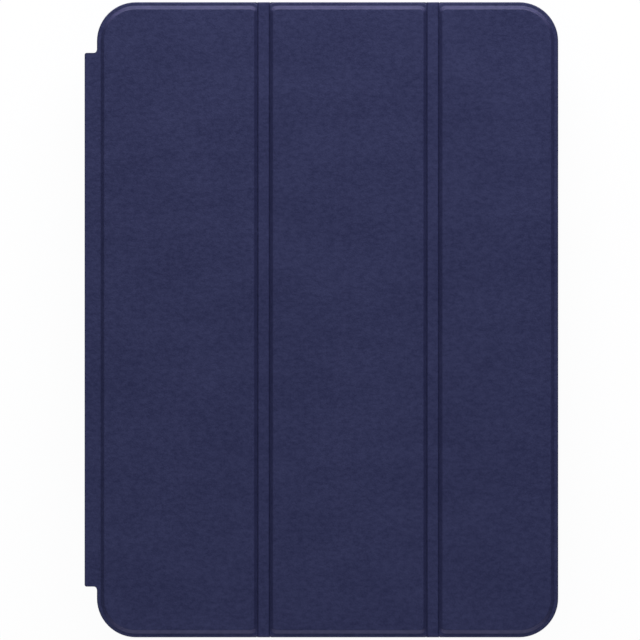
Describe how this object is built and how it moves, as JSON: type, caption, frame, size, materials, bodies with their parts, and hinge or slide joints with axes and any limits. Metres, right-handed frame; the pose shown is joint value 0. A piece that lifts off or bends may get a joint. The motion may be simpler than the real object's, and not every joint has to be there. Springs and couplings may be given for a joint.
{
  "type": "folding tablet case",
  "caption": "Tri-fold tablet case: a leather-covered snap-in tray and a hinged cover of stiff panels that closes over the screen or folds back into a triangular stand.",
  "frame": {"origin": "middle of the tray's flat rear face, on which the closed case lies", "axes": "+X from the spine to the cover's free edge, +Y along the folds towards the camera end, +Z out of the closed cover"},
  "size_m": [0.1888, 0.2529, 0.0115],
  "materials": {
    "leather": "fine-grained matt navy synthetic leather with a low sheen",
    "microfibre": "short-napped navy microfibre",
    "board": "plain grey stiffening board",
    "shell_plastic": "fine moulded texture, dark navy",
    "key_plastic": "satin moulded navy, matched to the leather",
    "magnet": "nickel-plated blocks",
    "steel": "plain cold-rolled strip"
  },
  "bodies": {
    "tray": {"rear_shell": "shell_plastic", "rear_skin": "leather", "rear_lining": "microfibre", "rear_strip_lining": "microfibre"},
    "volume_up": {"volume_up_key": "key_plastic"},
    "volume_down": {"volume_down_key": "key_plastic"},
    "power": {"power_key": "key_plastic"},
    "spine": {"spine_skin": "leather", "spine_board": "board", "spine_lining": "microfibre"},
    "panel_1": {"panel_1_skin": "leather", "panel_1_board": "board", "panel_1_lining": "microfibre", "stand_plates": "steel"},
    "crease_1": {"crease_1_skin": "leather", "crease_1_lining": "microfibre"},
    "panel_2": {"panel_2_skin": "leather", "panel_2_board": "board", "panel_2_lining": "microfibre"},
    "crease_2": {"crease_2_skin": "leather", "crease_2_lining": "microfibre"},
    "panel_3": {"panel_3_skin": "leather", "panel_3_board": "board", "panel_3_lining": "microfibre", "closing_magnets": "magnet"}
  },
  "joints": [
    {"name": "spine_fold", "type": "hinge", "parent": "tray", "child": "spine", "pos_m": [-0.0961, 0, 0.00045], "axis": [0, -1, 0], "range_deg": [0, 179.5]},
    {"name": "cover_fold", "type": "hinge", "parent": "spine", "child": "panel_1", "pos_m": [-0.0961, 0, 0.00985], "axis": [0, -1, 0], "range_deg": [0, 179.5]},
    {"name": "crease_1_near_fold", "type": "hinge", "parent": "panel_1", "child": "crease_1", "pos_m": [-0.0275, 0, 0.00985], "axis": [0, 1, 0], "range_deg": [-89, 0]},
    {"name": "crease_1_far_fold", "type": "hinge", "parent": "crease_1", "child": "panel_2", "pos_m": [-0.0233, 0, 0.00985], "axis": [0, 1, 0], "range_deg": [-89, 0]},
    {"name": "crease_2_near_fold", "type": "hinge", "parent": "panel_2", "child": "crease_2", "pos_m": [0.0397, 0, 0.00985], "axis": [0, -1, 0], "range_deg": [0, 89]},
    {"name": "crease_2_far_fold", "type": "hinge", "parent": "crease_2", "child": "panel_3", "pos_m": [0.0439, 0, 0.00985], "axis": [0, -1, 0], "range_deg": [0, 89]},
    {"name": "volume_up_press", "type": "slide", "parent": "tray", "child": "volume_up", "axis": [-1, 0, 0], "range_m": [0, 0.0004], "stiffness_N_per_m": 400},
    {"name": "volume_down_press", "type": "slide", "parent": "tray", "child": "volume_down", "axis": [-1, 0, 0], "range_m": [0, 0.0004], "stiffness_N_per_m": 400},
    {"name": "power_press", "type": "slide", "parent": "tray", "child": "power", "axis": [0, -1, 0], "range_m": [0, 0.0004], "stiffness_N_per_m": 400}
  ],
  "couplings": [
    {"joint": "crease_1_far_fold", "follows": "crease_1_near_fold", "ratio": 1},
    {"joint": "crease_2_far_fold", "follows": "crease_2_near_fold", "ratio": 1}
  ]
}
